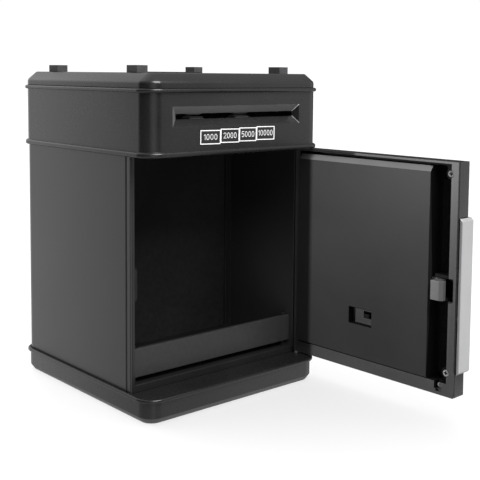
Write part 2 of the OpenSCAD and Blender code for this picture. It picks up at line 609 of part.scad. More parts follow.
base_tray();
base_cover();
body_shell();
partition();
coin_board();
strike_plate();
battery_box();
battery_cells();
battery_contacts();
battery_door();
battery_door_screw();
case_screws();
head_screws();
head_shell();
coin_chute();
coin_slot_trim();
lid();
lid_pads();
value_plate_1();
value_plate_2();
value_plate_3();
value_plate_4();
feeder_frame();
feeder_motor();
main_board();
board_parts();
drive_shaft();
drive_wheels();
drive_gear();
idler_shaft();
idler_wheels();
middle_gear();
motor_pinion();
door_shell();
door_panel();
hinge_pins();
door_bezel();
handle_trim();
led_lenses();
door_board();
speaker();
lock_coil();
door_screws();
knob();
crank();
latch_bolt();
lock_plunger();
switch_slider();
key_1();
key_2();
key_3();
key_4();
key_5();
key_6();
key_7();
key_8();
key_9();
key_10();
key_11();
key_12();
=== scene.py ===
import json
import math

import bmesh
import bpy
from mathutils import Matrix, Vector


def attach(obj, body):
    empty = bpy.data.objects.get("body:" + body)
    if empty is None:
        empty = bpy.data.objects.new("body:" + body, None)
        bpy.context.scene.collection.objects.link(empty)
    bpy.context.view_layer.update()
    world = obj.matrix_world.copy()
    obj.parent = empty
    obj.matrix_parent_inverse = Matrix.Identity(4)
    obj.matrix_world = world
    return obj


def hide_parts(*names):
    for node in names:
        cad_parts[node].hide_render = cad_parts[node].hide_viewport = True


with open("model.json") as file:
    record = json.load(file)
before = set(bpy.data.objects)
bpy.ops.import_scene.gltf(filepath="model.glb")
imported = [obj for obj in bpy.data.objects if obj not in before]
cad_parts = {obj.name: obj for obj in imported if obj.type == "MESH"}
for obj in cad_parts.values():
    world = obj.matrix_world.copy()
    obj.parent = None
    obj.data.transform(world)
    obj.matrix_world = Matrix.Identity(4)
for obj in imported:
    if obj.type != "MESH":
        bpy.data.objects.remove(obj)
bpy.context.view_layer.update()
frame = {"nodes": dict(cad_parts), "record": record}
nodes = frame["nodes"]
behaviour = frame["record"]["behaviour"]
node_body = {n: b for b, ns in behaviour["bodies"].items() for n in ns}
MM = 0.001

# ------------------------------------------------------------------ camera
CAMERA_AT = (-0.3361, -0.4602, 0.1873)  # metres
CAMERA_TURN = (-41.69, 4.91, 0.54)  # yaw, pitch and roll in degrees
SENSOR, LENS = 36.0, 69.51
SHIFT = (-0.0383333, -0.181875)

yaw, pitch, roll = (math.radians(a) for a in CAMERA_TURN)
back = Vector((math.sin(yaw) * math.cos(pitch), -math.cos(yaw) * math.cos(pitch), math.sin(pitch)))
right = (-back).cross(Vector((0, 0, 1))).normalized()
up = right.cross(-back)
right, up = (right * math.cos(roll) + up * math.sin(roll),
             up * math.cos(roll) - right * math.sin(roll))
cam_data = bpy.data.cameras.new("camera")
cam_data.sensor_width, cam_data.lens = SENSOR, LENS
cam_data.shift_x, cam_data.shift_y = SHIFT
cam_data.clip_start, cam_data.clip_end = 0.01, 60
cam = bpy.data.objects.new("camera", cam_data)
cam.matrix_world = Matrix((*zip(right, up, back, CAMERA_AT), (0, 0, 0, 1)))
bpy.context.scene.collection.objects.link(cam)
bpy.context.scene.camera = cam


# ------------------------------------------------------------------ materials
class Nodes:
    """A short way to write a node tree: n("Noise", Scale=3) makes a node and sets its inputs."""

    def __init__(self, tree):
        self.tree = tree

    def __call__(self, kind, prop=None, **inputs):
        node = self.tree.nodes.new("ShaderNode" + kind)
        for k, v in (prop or {}).items():
            setattr(node, k, v)
        for k, v in inputs.items():
            k = k.replace("_", " ")
            sock = node.inputs[int(k[1:])] if k[0] == "i" and k[1:].isdigit() else node.inputs[k]
            if isinstance(v, bpy.types.NodeSocket):
                self.tree.links.new(v, sock)
            else:
                sock.default_value = v
        return node

    def ramp(self, fac, *stops):
        node = self("ValToRGB", Fac=fac)
        cr = node.color_ramp
        while len(cr.elements) < len(stops):
            cr.elements.new(0.5)
        for el, (pos, col) in zip(cr.elements, stops):
            el.position = pos
            el.color = (col, col, col, 1) if isinstance(col, (int, float)) else (*col, 1)
        return node.outputs["Color"]

    def remap(self, fac, lo, hi, a=0.0, b=1.0):
        return self("MapRange", None, Value=fac, i1=a, i2=b, i3=lo, i4=hi).outputs["Result"]

    def mix(self, fac, a, b, mode="MIX"):
        node = self("Mix", {"data_type": "RGBA", "blend_type": mode})
        for i, v in ((0, fac), (6, a), (7, b)):
            if isinstance(v, bpy.types.NodeSocket):
                self.tree.links.new(v, node.inputs[i])
            else:
                node.inputs[i].default_value = v if i == 0 else (*v, 1)
        return node.outputs[2]


def smooth_step(n, value, start, full):
    """0 at start, 1 at full, and an even curve between them."""
    ends = {"i1": start, "i2": full, "i3": 0.0, "i4": 1.0}
    return n("MapRange", {"interpolation_type": "SMOOTHSTEP"}, Value=value, **ends).outputs["Result"]


def material(name, build, **fixed):
    """A finish whose colour, roughness and bump come from build(n, pos); fixed sets other inputs."""
    mat = bpy.data.materials.new(name)
    mat.use_nodes = True
    tree = mat.node_tree
    tree.nodes.clear()
    n = Nodes(tree)
    bsdf = n("BsdfPrincipled", None, **fixed)
    out = n("OutputMaterial", None, Surface=bsdf.outputs[0])
    pos = n("TexCoord").outputs["Object"]
    color, rough, height, strength, dist = build(n, pos)
    tree.links.new(color, bsdf.inputs["Base Color"])
    tree.links.new(rough, bsdf.inputs["Roughness"])
    if height is not None:
        bump = n("Bump", None, Strength=strength, Distance=dist, Height=height)
        tree.links.new(bump.outputs[0], bsdf.inputs["Normal"])
    return mat


def plastic(name, dark, light, rough, grain=0.05, grain_scale=1600, wear_and_sheen=0.35, edge=None, **fixed):
    """Moulded plastic: flow clouds in the colour, uneven gloss, a fine tool grain, and paler edges that are
    partly rubbed wear and partly a painted highlight.
    """
    def build(n, pos):
        cloud = n("TexNoise", None, Vector=pos, Scale=26, Detail=4, Roughness=0.55).outputs["Fac"]
        speck = n("TexNoise", None, Vector=pos, Scale=420, Detail=3, Roughness=0.6).outputs["Fac"]
        grain_h = n("TexNoise", None, Vector=pos, Scale=grain_scale, Detail=2, Roughness=0.5).outputs["Fac"]
        # paler edges: partly rubbed wear, partly a painted highlight where bevels would catch light
        rub_and_sheen = n.ramp(n("NewGeometry").outputs["Pointiness"], (0.0, 0.0), (0.53, 0.0), (0.60, 1.0))
        patchy = n.remap(speck, 0.2 * wear_and_sheen, wear_and_sheen, 0.3, 0.7)
        rub_and_sheen = n("Math", {"operation": "MULTIPLY"}, i0=rub_and_sheen, i1=patchy).outputs[0]
        color = n.mix(n.remap(cloud, 0, 1, 0.3, 0.7), dark, light)
        color = n.mix(rub_and_sheen, color, edge or tuple(min(1, c * 2.2 + 0.02) for c in light))
        gloss = n("Math", {"operation": "ADD"}, i0=n.remap(cloud, -0.02, 0.02, 0.3, 0.7),
                  i1=n.remap(speck, rough - 0.012, rough + 0.018, 0.3, 0.7)).outputs[0]
        return color, gloss, grain_h, grain, 0.0002
    return material(name, build, **fixed)


def metal(name, dark, light, rough, stretch, scale, **fixed):
    """Drawn or plated metal: fine lines along one axis, slightly uneven tone and gloss."""
    def build(n, pos):
        lines = n("Mapping", None, Vector=pos, Scale=tuple(1 / s for s in stretch)).outputs[0]
        fine = scale * max(stretch) / 4
        streak = n("TexNoise", None, Vector=lines, Scale=fine, Detail=3, Roughness=0.6).outputs["Fac"]
        cloud = n("TexNoise", None, Vector=pos, Scale=140, Detail=3).outputs["Fac"]
        color = n.mix(n.remap(streak, 0, 1, 0.3, 0.7), dark, light)
        color = n.mix(n.remap(cloud, 0, 0.25, 0.35, 0.7), color, tuple(c * 0.8 for c in dark))
        gloss = n.remap(streak, rough - 0.05, rough + 0.07, 0.3, 0.7)
        return color, gloss, streak, 0.06, 0.0002
    return material(name, build, **fixed)


def board(n, pos):
    """Green solder mask with copper runs under it and rows of solder dots."""
    cells = n("TexBrick", {"offset": 0.37, "squash": 0.8}, Vector=pos, Scale=210, Mortar_Size=0.035)
    runs = n.ramp(cells.outputs["Fac"], (0.35, 0.0), (0.65, 1.0))
    dots = n("TexVoronoi", {"feature": "F1"}, Vector=pos, Scale=310, Randomness=0.25).outputs["Distance"]
    pads = n.ramp(dots, (0.14, 1.0), (0.2, 0.0))
    cloud = n("TexNoise", None, Vector=pos, Scale=60, Detail=3).outputs["Fac"]
    some = n.ramp(cloud, (0.52, 0.0), (0.56, 1.0))
    pads = n("Math", {"operation": "MULTIPLY"}, i0=pads, i1=some).outputs[0]
    color = n.mix(runs, (0.006, 0.06, 0.022), (0.012, 0.115, 0.04))
    color = n.mix(pads, color, (0.5, 0.5, 0.48))
    height = n("Math", {"operation": "ADD"}, i0=runs, i1=pads).outputs[0]
    return color, n.remap(cloud, 0.25, 0.4), height, 0.25, 0.0002


def copper(n, pos):
    """Enamelled wire wound in close turns, one above the other."""
    turns = {"wave_type": "BANDS", "bands_direction": "Z"}
    wire = n("TexWave", turns, Vector=pos, Scale=900, Distortion=0.4, Detail=1).outputs["Fac"]
    cloud = n("TexNoise", None, Vector=pos, Scale=200, Detail=3).outputs["Fac"]
    color = n.mix(wire, (0.16, 0.045, 0.015), (0.55, 0.2, 0.08))
    return color, n.remap(cloud, 0.25, 0.45), wire, 0.6, 0.0003


def cell_skin(n, pos):
    """A plain battery jacket: dark sleeve, an orange band, a bare steel rim."""
    steel, sleeve, orange = (0.4, 0.4, 0.41), (0.03, 0.03, 0.032), (0.55, 0.2, 0.03)
    foot, top = 0.026, 0.076  # the cells' ends, in metres above the ground
    z = n("SeparateXYZ", None, Vector=pos).outputs["Z"]
    band = n.ramp(n.remap(z, 0, 1, foot, top), (0.0, steel), (0.02, steel), (0.03, sleeve),
                  (0.62, sleeve), (0.64, orange), (0.92, orange), (0.96, steel))
    cloud = n("TexNoise", None, Vector=pos, Scale=300, Detail=3).outputs["Fac"]
    color = n.mix(n.remap(cloud, 0, 0.15, 0.3, 0.7), band, (0.08, 0.07, 0.06))
    return color, n.remap(cloud, 0.22, 0.34), cloud, 0.04, 0.0002


# the finish of each of the record's material slots: colours dark and light, roughness, grain
FINISH = {
    "black_shell": plastic("satin_black", (0.0095, 0.0096, 0.0101), (0.0130, 0.0131, 0.0137),
                           0.27, 0.012),
    "black_body": plastic("satin_black_body", (0.0100, 0.0101, 0.0106), (0.0140, 0.0141, 0.0147),
                          0.31, 0.015),
    "dark_inner": plastic("matt_black", (0.012, 0.012, 0.0128), (0.0175, 0.0175, 0.0185), 0.5, 0.1),
    "pad_grey": plastic("rubber_pad", (0.028, 0.028, 0.03), (0.042, 0.042, 0.044), 0.7, 0.25, 1900),
    "value_black": plastic("label_black", (0.009, 0.009, 0.0095), (0.013, 0.013, 0.0135), 0.33, 0.03),
    "dark_steel": plastic("latch_plastic", (0.040, 0.040, 0.0415), (0.052, 0.052, 0.0535), 0.42, 0.08),
    "bright_screw": metal("zinc_screw", (0.62, 0.62, 0.62), (0.80, 0.80, 0.80),
                          0.38, (1, 1, 1), 900, Metallic=0.55),
    "shaft_steel": metal("ground_steel", (0.45, 0.45, 0.47), (0.62, 0.62, 0.63),
                         0.25, (12, 1, 1), 600, Metallic=1.0),
    "contact_steel": metal("nickel_spring", (0.55, 0.55, 0.54), (0.72, 0.72, 0.7),
                           0.3, (1, 1, 1), 700, Metallic=1.0),
    "cell_case": material("battery_sleeve", cell_skin, Metallic=0.25),
    "silver_trim": plastic("silver_lacquer", (0.40, 0.40, 0.405), (0.44, 0.44, 0.445),
                           0.34, 0.03, 1500, 0.2, (0.5, 0.5, 0.5), Metallic=0.35),
    "knob_dark": plastic("knob_plastic", (0.022, 0.022, 0.024), (0.032, 0.032, 0.034),
                         0.34, 0.06, wear_and_sheen=0.5),
    "key_pale": plastic("key_plastic", (0.62, 0.62, 0.61), (0.72, 0.72, 0.71),
                        0.42, 0.05, edge=(0.82, 0.82, 0.81)),
    "lamp": plastic("lamp_plastic", (0.42, 0.03, 0.02), (0.55, 0.05, 0.03),
                    0.18, 0.01, Transmission_Weight=0.35),
    "board_green": material("circuit_board", board),
    "chip_black": plastic("chip_epoxy", (0.02, 0.02, 0.021), (0.03, 0.03, 0.031), 0.5, 0.12),
    "coil_copper": material("coil_wire", copper, Metallic=0.8),
    "motor_can": metal("motor_can_metal", (0.5, 0.5, 0.51), (0.68, 0.68, 0.68),
                       0.3, (12, 1, 1), 400, Metallic=1.0),
    # painted shade: the feeder is near black so that the note slot behind the rollers reads as shade
    "feeder_plastic": plastic("feeder_painted_shade", (0.010, 0.010, 0.0105), (0.015, 0.015, 0.0155), 0.5, 0.08),
    "gear_white": plastic("gear_acetal", (0.7, 0.69, 0.66), (0.78, 0.77, 0.74), 0.38, 0.04),
    "wheel_rubber": plastic("roller_rubber", (0.20, 0.20, 0.20), (0.27, 0.27, 0.27), 0.5, 0.3, 2400),
}
# finishes of their own: print, and blacks lighter or darker than the shell's, several of them painted shade
# or painted light, as said at each
ink = plastic("white_print", (0.75, 0.75, 0.75), (0.85, 0.85, 0.84), 0.4, 0.05)
ink_dark = plastic("dark_print", (0.02, 0.02, 0.022), (0.03, 0.03, 0.032), 0.45, 0.05)
# painted shade: a darker black for faces deep inside the box and the head, where shade falls
painted_shade_black = plastic("painted_shade_black", (0.0055, 0.0055, 0.0058), (0.0080, 0.0080, 0.0084),
                     0.6, 0.1, Specular_IOR_Level=0.25)
panel_black = plastic("panel_black", (0.013, 0.013, 0.0135), (0.016, 0.016, 0.0165),
                      0.5, 0.03, Specular_IOR_Level=0.12)
board_black = plastic("board_black", (0.0165, 0.0165, 0.0173), (0.0215, 0.0215, 0.0223), 0.42, 0.04)
# painted shade: the darkest black, for hollows and recesses that lie in shade
painted_deep_shade = plastic("painted_deep_shade", (0.0022, 0.0022, 0.0023), (0.0036, 0.0036, 0.0037),
                     0.7, 0.1, Specular_IOR_Level=0.06)
# painted highlight: a lighter black for the door panel's upper bevel
painted_highlight_bevel = plastic("painted_highlight_bevel", (0.062, 0.062, 0.063), (0.075, 0.075, 0.076), 0.45, 0.03)
# painted light: a lighter black for the door rim's faces that turn toward the light
painted_light_rim = plastic("painted_light_rim", (0.027, 0.027, 0.0275), (0.032, 0.032, 0.0325),
                    0.45, 0.03, Specular_IOR_Level=0.2)
# painted light: a lighter black for the left post's front and the base's bottom chamfer
painted_light_black = plastic("painted_light_black", (0.050, 0.050, 0.0505), (0.058, 0.058, 0.0585), 0.4, 0.03)
# painted reflection: a lighter grey for the note slot funnel's upper and left faces
painted_reflection_grey = plastic("painted_reflection_grey", (0.100, 0.100, 0.102), (0.115, 0.115, 0.117), 0.45, 0.05)
# painted highlight: pale grey for the thin ridges in the note slot's corners
painted_highlight_grey = plastic("painted_highlight_grey", (0.34, 0.34, 0.34), (0.40, 0.40, 0.40), 0.3, 0.03)
pocket_grey = plastic("pocket_grey", (0.021, 0.021, 0.022), (0.027, 0.027, 0.028), 0.4, 0.05)


def wall_painted_light(n, pos):
    """Inner wall: near black, painted paler toward the bottom as a pool of light, with fine scratch noise in
    its gloss and bump.
    """
    cloud = n("TexNoise", None, Vector=pos, Scale=26, Detail=4, Roughness=0.55).outputs["Fac"]
    scratch = n("TexNoise", None, Vector=pos, Scale=700, Detail=2).outputs["Fac"]
    height = n("SeparateXYZ", None, Vector=pos).outputs["Z"]
    # painted light: paler toward the bottom, broken up by the cloud
    painted_light_low = smooth_step(n, height, 0.115, 0.050)
    painted_light_low = n("Math", {"operation": "MULTIPLY"}, i0=painted_light_low, i1=n.remap(cloud, 0.75, 1.0, 0.3, 0.7)).outputs[0]
    color = n.mix(painted_light_low, (0.0110, 0.0110, 0.0114), (0.034, 0.034, 0.035))
    return color, n.remap(scratch, 0.5, 0.62), scratch, 0.05, 0.0002


painted_light_wall = material("painted_light_wall", wall_painted_light, Specular_IOR_Level=0.2)
# painted shade: near-black foam that stands in for the bolt channel's shade
painted_shade_foam = plastic("painted_shade_strip", (0.0015, 0.0015, 0.0016), (0.0035, 0.0035, 0.0036),
               0.95, 0.6, 1500, Specular_IOR_Level=0.05)


# ------------------------------------------------------------------ mesh helpers
slot_of = {p["node"]: p["material_slot"] for p in frame["record"]["subparts"]}
WIDTH, DEPTH = 125.0, 135.0  # width and depth of the head and the base, in mm
CORNER = 9.0  # radius of their upright corners
TOP = 1000.0  # above everything, in mm

# the door is drawn shut: on_door turns it about its hinge to its place in the frame, off_door back
hinge = next(j for j in behaviour["joints"] if j["name"] == "door_hinge")
HINGE_X, HINGE_Y = (v / MM for v in hinge["pos_m"][:2])
to_hinge = Matrix.Translation((HINGE_X * MM, HINGE_Y * MM, 0))
on_door = to_hinge @ Matrix.Rotation(math.radians(-hinge["range_deg"][0]), 4, "Z") @ to_hinge.inverted()
off_door = on_door.inverted()


def link(obj):
    bpy.context.scene.collection.objects.link(obj)
    return obj


def place(piece, body, slot, *replaced, mats=None):
    """Gives a piece its finish (the slot's unless mats are given), attaches it to the body it rides, and
    hides the nodes it stands in for.
    """
    painted = [p.material_index for p in piece.data.polygons]
    piece.data.materials.clear()
    for m in mats or [FINISH[slot]]:
        piece.data.materials.append(m)
    for p, i in zip(piece.data.polygons, painted):
        p.material_index = i
    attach(piece, body)
    if replaced:
        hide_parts(*replaced)
    return piece


def clean(bm, flat):
    """Welds vertices that nearly touch and, if flat, merges faces in one plane."""
    bmesh.ops.remove_doubles(bm, verts=bm.verts, dist=0.03 * MM)
    bmesh.ops.dissolve_degenerate(bm, edges=bm.edges, dist=0.005 * MM)
    if flat:
        bmesh.ops.dissolve_limit(bm, angle_limit=math.radians(0.6), verts=bm.verts, edges=bm.edges)
    bmesh.ops.recalc_face_normals(bm, faces=bm.faces)


def soften(obj, width, segments=2, angle=28):
    """Smooth shading, with every edge sharper than angle rounded by width millimetres."""
    obj.data.shade_smooth()
    if width:
        bev = obj.modifiers.new("soft_edges", "BEVEL")
        bev.width, bev.segments = width * MM, segments
        bev.limit_method, bev.angle_limit = "ANGLE", math.radians(angle)
        bev.use_clamp_overlap, bev.harden_normals, bev.miter_outer = False, True, "MITER_ARC"
    else:
        obj.data.set_sharp_from_angle(angle=math.radians(angle))
    return obj


def to_object(bm, name, shut=False):
    """The mesh as an object. shut says it was drawn on the closed door, so it turns to the door's place."""
    if shut:
        bm.transform(on_door)
    mesh = bpy.data.meshes.new(name)
    bm.to_mesh(mesh)
    bm.free()
    return link(bpy.data.objects.new(name, mesh))


def solid_of(node, flat=True):
    """A CAD solid as an editable mesh, welded, with its flat faces merged unless flat is off."""
    src = nodes[node].data
    bm = bmesh.new()
    verts = [bm.verts.new(v.co) for v in src.vertices]
    for p in src.polygons:
        if len({tuple(round(c, 8) for c in src.vertices[i].co) for i in p.vertices}) > 2:
            try:
                bm.faces.new([verts[i] for i in p.vertices])
            except ValueError:
                pass
    clean(bm, flat)
    return bm


def round_edges(bm, chosen, offset, segments):
    """Rounds the edges that chosen(a, b, face_angle) picks, a and b being their ends in millimetres."""
    def wanted(edge):
        if len(edge.link_faces) != 2:
            return False
        a, b = (v.co / MM for v in edge.verts)
        return chosen(a, b, math.degrees(edge.calc_face_angle()))
    bmesh.ops.bevel(bm, geom=[e for e in bm.edges if wanted(e)], offset=offset * MM, segments=segments,
                    profile=0.5, affect="EDGES", clamp_overlap=True)


def inside(p, lo, hi):
    """Whether a point is between two corners, all in millimetres."""
    return all(a < v < b for a, v, b in zip(lo, p, hi))


def paint(obj, choose):
    """Gives each face the material number that choose(centre in mm, normal) returns."""
    for p in obj.data.polygons:
        p.material_index = choose(p.center / MM, p.normal)


def fillet(points):
    """A profile of (inset, z, radius) with its corners rounded."""
    out = []
    for i, (x, z, r) in enumerate(points):
        if not r or i in (0, len(points) - 1):
            out.append((x, z))
            continue
        p, a, b = Vector((x, z)), Vector(points[i - 1][:2]), Vector(points[i + 1][:2])
        u, v = (a - p).normalized(), (b - p).normalized()
        half = u.angle(v) / 2
        cut = min(r / math.tan(half), (a - p).length * 0.49, (b - p).length * 0.49)
        c = p + (u + v).normalized() * (cut / math.cos(half))
        s, e = p + u * cut - c, p + v * cut - c
        steps = max(2, int(math.degrees(math.pi - 2 * half) / 15))
        for k in range(steps + 1):
            t = k / steps
            q = s.lerp(e, t)
            out.append(tuple(c + q.normalized() * (s.length * (1 - t) + e.length * t)))
    return out


def loft(name, profile):
    """A solid of rounded-rectangle rings, one for each (inset, z) of the profile, capped at both ends."""
    arc = 14  # steps round each corner
    bm = bmesh.new()
    rings = []
    for inset, z in profile:
        r = max(CORNER - inset, 0.35)
        cx, cy = WIDTH / 2 - inset - r, DEPTH / 2 - inset - r
        ring = []
        for k, (sx, sy) in enumerate(((1, 1), (-1, 1), (-1, -1), (1, -1))):
            for j in range(arc + 1):
                a = math.radians(90 * (k + j / arc))
                x, y = sx * cx + r * math.cos(a), sy * cy + r * math.sin(a)
                ring.append(bm.verts.new((x * MM, y * MM, z * MM)))
        rings.append(ring)
    for lo, hi in zip(rings, rings[1:]):
        for i in range(len(lo)):
            j = (i + 1) % len(lo)
            bm.faces.new((lo[i], lo[j], hi[j], hi[i]))
    bm.faces.new(rings[0])
    bm.faces.new(rings[-1])
    bmesh.ops.recalc_face_normals(bm, faces=bm.faces)
    return to_object(bm, name)


def block(bm, lo, hi):
    """Adds a box between two corners in millimetres."""
    mid = [(a + b) / 2 * MM for a, b in zip(lo, hi)]
    size = [(b - a) * MM for a, b in zip(lo, hi)]
    bmesh.ops.create_cube(bm, size=1, matrix=Matrix.Translation(mid) @ Matrix.Diagonal((*size, 1)))


def rod(bm, foot, length, radius):
    """Adds an upright cylinder, from its foot."""
    middle = Matrix.Translation([c * MM for c in foot]) @ Matrix.Translation((0, 0, length * MM / 2))
    bmesh.ops.create_cone(bm, cap_ends=True, segments=32, radius1=radius * MM, radius2=radius * MM,
                          depth=length * MM, matrix=middle)


def cut(obj, bm):
    """Takes the drawn solid out of obj and bakes the result into its mesh."""
    tool = to_object(bm, "tool")
    mod = obj.modifiers.new("cut", "BOOLEAN")
    mod.operation, mod.solver, mod.object = "DIFFERENCE", "EXACT", tool
    mesh = bpy.data.meshes.new_from_object(obj.evaluated_get(bpy.context.evaluated_depsgraph_get()))
    obj.modifiers.clear()
    obj.data = mesh
    bpy.data.objects.remove(tool)


def curve_points(cx, cy, rx, ry, a0, a1, n=14):
    """n + 1 points on an ellipse about (cx, cy), from angle a0 to a1 in degrees."""
    angles = [math.radians(a0 + (a1 - a0) * i / n) for i in range(n + 1)]
    return [(cx + rx * math.cos(a), cy + ry * math.sin(a)) for a in angles]


# the strokes of each character, in a cell one high and about 0.6 wide
SIX = [[(0.50, 1.0), (0.30, 0.88), (0.12, 0.64), (0.05, 0.38)],
       curve_points(0.31, 0.30, 0.26, 0.30, 160, 520, 24)]
STAR_ARMS = [Vector((math.cos(a), math.sin(a))) * 0.26 for a in (0.52, 1.57, 2.62)]
STROKES = {
    "0": [curve_points(0.29, 0.5, 0.25, 0.5, 90, 450, 28)],
    "1": [[(0.10, 0.76), (0.31, 0.97), (0.31, 0.0)]],
    "2": [curve_points(0.29, 0.73, 0.25, 0.27, 170, -25) + [(0.03, 0.0), (0.58, 0.0)]],
    "3": [curve_points(0.27, 0.75, 0.25, 0.25, 150, -85) + curve_points(0.28, 0.26, 0.28, 0.26, 85, -150)],
    "4": [[(0.45, 0.0), (0.45, 1.0), (0.02, 0.30), (0.62, 0.30)]],
    "5": [[(0.54, 1.0), (0.12, 1.0), (0.06, 0.50)] + curve_points(0.29, 0.32, 0.27, 0.32, 125, -145)],
    "6": SIX,
    "7": [[(0.03, 1.0), (0.57, 1.0), (0.20, 0.0)]],
    "8": [curve_points(0.30, 0.76, 0.22, 0.24, 270, -90, 22),
          curve_points(0.30, 0.26, 0.27, 0.26, 90, 450, 24)],
    "9": [[(0.60 - x, 1 - y) for x, y in line] for line in SIX],
    "*": [[(0.3 + v.x, 0.5 + v.y), (0.3 - v.x, 0.5 - v.y)] for v in STAR_ARMS],
    "#": [[(0.16, 0.12), (0.26, 0.88)], [(0.36, 0.12), (0.46, 0.88)],
          [(0.02, 0.35), (0.56, 0.35)], [(0.06, 0.65), (0.60, 0.65)]],
}


def lettering(text, height, width, depth, matrix, name, weight=0.15):
    """Numerals drawn as raised strokes, height and width in mm, centred on the matrix."""
    bm = bmesh.new()
    lines, x = [], 0.0
    for ch in text:
        lines += [(i, [(x + px, py) for px, py in line]) for i, line in enumerate(STROKES[ch])]
        x += 0.56 if ch == "1" else 0.79
    xs = [q[0] for _, line in lines for q in line]
    mid = (min(xs) + max(xs)) / 2
    kx = width / (max(xs) - min(xs)) if width else height
    for i, line in lines:
        pts = [Vector(((px - mid) * kx, (py - 0.5) * height)) for px, py in line]
        closed = (pts[0] - pts[-1]).length < 0.01 * height
        if closed:
            pts.pop()
        rows, n = [], len(pts)
        for k, q in enumerate(pts):
            before = pts[k - 1] if closed or k else q - (pts[1] - q)
            after = pts[(k + 1) % n] if closed or k < n - 1 else q + (q - pts[k - 1])
            t0, t1 = (q - before).normalized(), (after - q).normalized()
            m = Vector((-(t0.y + t1.y), t0.x + t1.x))
            m = m.normalized() if m.length > 1e-6 else Vector((-t0.y, t0.x))
            m *= weight * height / 2 / max(0.6, abs(m.dot(Vector((-t0.y, t0.x)))))
            end = Vector((0, 0))
            if not closed and k in (0, n - 1):
                end = (t1 if k else -t0) * weight * height * 0.4
            top = depth * (1 + 0.25 * i)  # each stroke a little higher than the last, so that none coincide
            corners = [(q + end + d * m, z) for d, z in ((1, 0), (1, top), (-1, top), (-1, 0))]
            rows.append([bm.verts.new(matrix @ Vector((c.x * MM, c.y * MM, z * MM))) for c, z in corners])
        for k in range(n if closed else n - 1):
            a, b = rows[k], rows[(k + 1) % n]
            for j in range(4):
                bm.faces.new((a[j], a[(j + 1) % 4], b[(j + 1) % 4], b[j]))
        if not closed:
            bm.faces.new(rows[0])
            bm.faces.new(rows[-1])
    bmesh.ops.recalc_face_normals(bm, faces=bm.faces)
    return to_object(bm, name)


# ------------------------------------------------------------------ the housing's outer shells
# profiles go round the wall's section, as (inset from the head's outline, height, corner radius)
LID = [(12, 187, 0), (5.4, 187, 1.5), (0, 182.2, 2.2), (0, 178.84, 0.25), (2.85, 178.84, 0),
       (2.85, 176.2, 0.3), (4.6, 176.2, 0.3), (4.6, 181.8, 0), (10, 181.8, 0), (10, 184.6, 0)]
TRIM_SEAT = (21.2, 5.6, 185.8, 188)  # half length, half width, lower and upper end
COIN_SLOT = (18.6, 3.2, 184, 187)

lid = loft("v_lid", fillet(LID))
for x, y, z0, z1 in (TRIM_SEAT, COIN_SLOT):
    bm = bmesh.new()
    block(bm, (-x, -y, z0), (x, y, z1))
    cut(lid, bm)
place(soften(lid, 0, angle=32), "housing", "black_shell", "lid")

CHAMFER_TOP = 3.2
TRAY = [(4, 13.4, 0), (0.3, 13.4, 0), (0.3, 14.0, 0.2), (-1.6, 14.0, 0.9), (-1.6, 11.9, 0.9),
        (0, 11.9, 0.3), (0, CHAMFER_TOP, 0.8), (2.4, 0, 0.5), (4.3, 0, 0.2), (4.3, 2.4, 0),
        (3.6, 2.4, 0), (3.6, 10.8, 0)]
SCREWS_X, SCREWS_Y, SCREW_HOLE = (-52, 52), (-38, 52), 1.65
HINGE_HOLE = 1.25
TRAY_DECK = 10  # below the tray's upper plate, where its holes start

tray = loft("v_base_tray", fillet(TRAY))
bm = bmesh.new()
for x in SCREWS_X:
    for y in SCREWS_Y:
        rod(bm, (x, y, TRAY_DECK), 4, SCREW_HOLE)
rod(bm, (HINGE_X, HINGE_Y, TRAY_DECK), 5, HINGE_HOLE)
cut(tray, bm)
soften(tray, 0, angle=32)
# the bottom chamfer's downward faces get the lighter black: painted light
paint(tray, lambda c, n: int(n.z < -0.35 and c.z < CHAMFER_TOP))
place(tray, "housing", "black_shell", "base_tray", mats=[FINISH["black_shell"], painted_light_black])

# heights of the four edges of the head's two beads, and how far each is rounded
BEAD_EDGES = {142.5: 1.3, 145.5: 1.3, 176.6: 1.0, 178.8: 1.0}
# the room inside the head and the note slot's funnel, each between two corners
HEAD_ROOM = ((-59.8, -62.59, 145.2), (59.8, 62.59, TOP))
NOTE_SLOT = ((-46.7, -67.4, 158.4), (45.4, -62.7, 169.3))
THROAT_Y = -63.5  # where the slot's funnel ends and its throat begins


def past_wall(p):
    """How far a point is outside the head's rounded-rectangle outline, in mm."""
    over_x, over_y = abs(p.x) - WIDTH / 2, abs(p.y) - DEPTH / 2
    corner = math.hypot(max(over_x + CORNER, 0), max(over_y + CORNER, 0)) - CORNER
    return max(over_x, over_y, corner)


bm = solid_of("head_shell")
for z, radius in BEAD_EDGES.items():
    def rim_edge(a, b, angle):
        return angle > 60 and all(abs(p.z - z) < 0.01 and past_wall(p) > 1.5 for p in (a, b))
    round_edges(bm, rim_edge, radius, 5)
head = soften(to_object(bm, "v_head_shell"), 0.14, 2, 30)


def head_tone(c, n):
    """1 for the inner walls and the slot's throat, painted shade; 2 for the funnel's upper and left faces, a
    painted reflection.
    """
    if inside(c, *HEAD_ROOM):
        return 1
    if inside(c, *NOTE_SLOT):
        return 1 if c.y > THROAT_Y else 2 if n.z < -0.4 or n.x > 0.5 else 0
    return 0


paint(head, head_tone)
place(head, "housing", "black_shell", "head_shell", mats=[FINISH["black_shell"], painted_shade_black, painted_reflection_grey])

